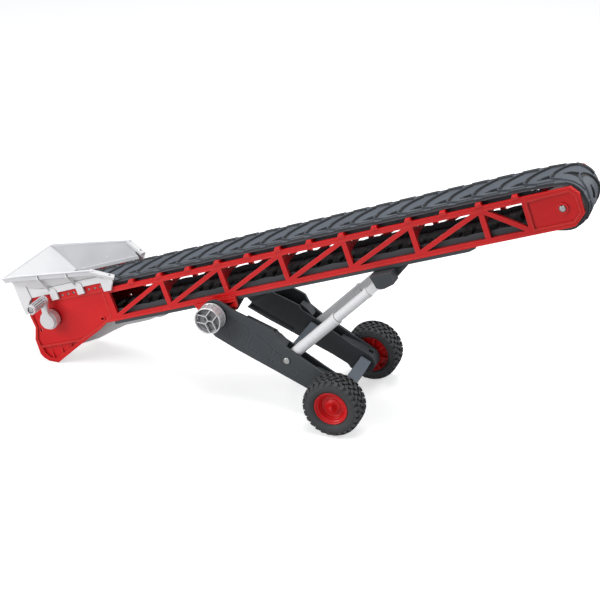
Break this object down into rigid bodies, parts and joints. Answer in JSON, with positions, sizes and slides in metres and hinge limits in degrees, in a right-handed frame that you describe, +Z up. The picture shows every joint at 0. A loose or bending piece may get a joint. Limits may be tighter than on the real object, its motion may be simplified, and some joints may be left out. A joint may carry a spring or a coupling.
{
  "type": "toy belt conveyor",
  "caption": "Hand-cranked toy belt conveyor: troughed chevron belt on an inclined red truss boom, tail hopper, two-wheeled undercarriage with telescopic struts.",
  "frame": {"origin": "middle of the bounding box's underside, on the ground", "axes": "+X towards the raised discharge end, +Y towards the left side (the crank is on the right, at -Y), +Z up"},
  "size_m": [0.6106, 0.1514, 0.2787],
  "materials": {
    "red_plastic": "smooth moulded red plastic, semi-gloss",
    "dark_grey_plastic": "satin dark grey moulding",
    "mid_grey_plastic": "satin bluish grey moulding",
    "pale_grey_plastic": "semi-gloss near-white moulding",
    "silver_plastic": "light silver grey moulding",
    "chrome_plastic": "bright metallised plastic",
    "steel": "plain drawn steel rod",
    "belt_rubber": "moulded dark grey belt with chevron ribs",
    "tyre_rubber": "block tread tyre"
  },
  "bodies": {
    "boom": {"side_frame_left": "red_plastic", "side_frame_right": "red_plastic", "bulkhead_1": "red_plastic", "bulkhead_2": "red_plastic", "bulkhead_3": "red_plastic", "bulkhead_4": "red_plastic", "bulkhead_5": "red_plastic", "bulkhead_6": "red_plastic", "belt_saddle_01": "red_plastic", "belt_saddle_02": "red_plastic", "belt_saddle_03": "red_plastic", "belt_saddle_04": "red_plastic", "belt_saddle_05": "red_plastic", "belt_saddle_06": "red_plastic", "belt_saddle_07": "red_plastic", "belt_saddle_08": "red_plastic", "belt_saddle_09": "red_plastic", "belt_saddle_10": "red_plastic", "belt_saddle_11": "red_plastic", "belt_saddle_12": "red_plastic", "belt_saddle_13": "red_plastic", "belt_tray": "dark_grey_plastic", "belt": "belt_rubber", "head_axle": "steel", "hopper": "pale_grey_plastic", "tow_pin": "steel", "strut_bracket": "dark_grey_plastic", "pivot_bracket_left": "red_plastic", "pivot_bracket_right": "red_plastic", "pivot_shaft": "steel"},
    "crank": {"tail_drum": "mid_grey_plastic", "crank_shaft": "steel", "crank_arm": "chrome_plastic", "grip_pin": "steel"},
    "grip": {"crank_grip": "chrome_plastic"},
    "head": {"head_drum": "mid_grey_plastic"},
    "undercarriage": {"arm_left": "dark_grey_plastic", "arm_right": "dark_grey_plastic", "cross_beam": "mid_grey_plastic", "axle_beam": "mid_grey_plastic", "wheel_axle": "steel", "strut_pin_left": "steel", "strut_pin_right": "steel"},
    "wheel_right": {"tyre_right": "tyre_rubber", "rim_right": "red_plastic"},
    "wheel_left": {"tyre_left": "tyre_rubber", "rim_left": "red_plastic"},
    "barrel_right": {"strut_barrel_right": "silver_plastic"},
    "barrel_left": {"strut_barrel_left": "silver_plastic"},
    "rod_right": {"strut_rod_right": "silver_plastic", "rod_pin_right": "steel"},
    "rod_left": {"strut_rod_left": "silver_plastic", "rod_pin_left": "steel"},
    "knob": {"height_knob": "chrome_plastic"},
    "tow": {"tow_bar": "pale_grey_plastic"}
  },
  "joints": [
    {"name": "crank_turn", "type": "hinge", "parent": "boom", "child": "crank", "pos_m": [-0.25258, 0, 0.05419], "axis": [0, 1, 0], "continuous": true},
    {"name": "grip_spin", "type": "hinge", "parent": "crank", "child": "grip", "pos_m": [-0.2565, -0.058, 0.07749], "axis": [0, 1, 0], "continuous": true},
    {"name": "head_turn", "type": "hinge", "parent": "boom", "child": "head", "pos_m": [0.28157, 0, 0.25486], "axis": [0, 1, 0], "continuous": true},
    {"name": "undercarriage_swing", "type": "hinge", "parent": "boom", "child": "undercarriage", "pos_m": [-0.05568, 0, 0.09699], "axis": [0, 1, 0], "range_deg": [-9, 9]},
    {"name": "wheel_right_spin", "type": "hinge", "parent": "undercarriage", "child": "wheel_right", "pos_m": [0.0798, -0.0622, 0.03039], "axis": [0, 1, 0], "continuous": true},
    {"name": "wheel_left_spin", "type": "hinge", "parent": "undercarriage", "child": "wheel_left", "pos_m": [0.0798, 0.0622, 0.03039], "axis": [0, 1, 0], "continuous": true},
    {"name": "strut_right_tilt", "type": "hinge", "parent": "undercarriage", "child": "barrel_right", "pos_m": [0.02364, -0.038, 0.06029], "axis": [0, 1, 0], "range_deg": [-11, 11]},
    {"name": "strut_left_tilt", "type": "hinge", "parent": "undercarriage", "child": "barrel_left", "pos_m": [0.02364, 0.038, 0.06029], "axis": [0, 1, 0], "range_deg": [-11, 11]},
    {"name": "strut_right_slide", "type": "slide", "parent": "barrel_right", "child": "rod_right", "axis": [0.6885, 0, 0.7253], "range_m": [-0.0131, 0.0131]},
    {"name": "strut_left_slide", "type": "slide", "parent": "barrel_left", "child": "rod_left", "axis": [0.6885, 0, 0.7253], "range_m": [-0.0131, 0.0131]},
    {"name": "knob_turn", "type": "hinge", "parent": "boom", "child": "knob", "pos_m": [-0.05568, -0.055, 0.09699], "axis": [0, 1, 0], "continuous": true},
    {"name": "tow_bar_swing", "type": "hinge", "parent": "boom", "child": "tow", "pos_m": [-0.24369, 0, 0.0148], "axis": [0, 1, 0], "range_deg": [0, 165]}
  ],
  "couplings": [
    {"joint": "head_turn", "follows": "crank_turn", "ratio": 1},
    {"joint": "strut_right_tilt", "follows": "undercarriage_swing", "ratio": -1.2072},
    {"joint": "strut_right_slide", "follows": "undercarriage_swing", "m_per_rad": 0.0823},
    {"joint": "strut_left_tilt", "follows": "undercarriage_swing", "ratio": -1.2072},
    {"joint": "strut_left_slide", "follows": "undercarriage_swing", "m_per_rad": 0.0823}
  ]
}
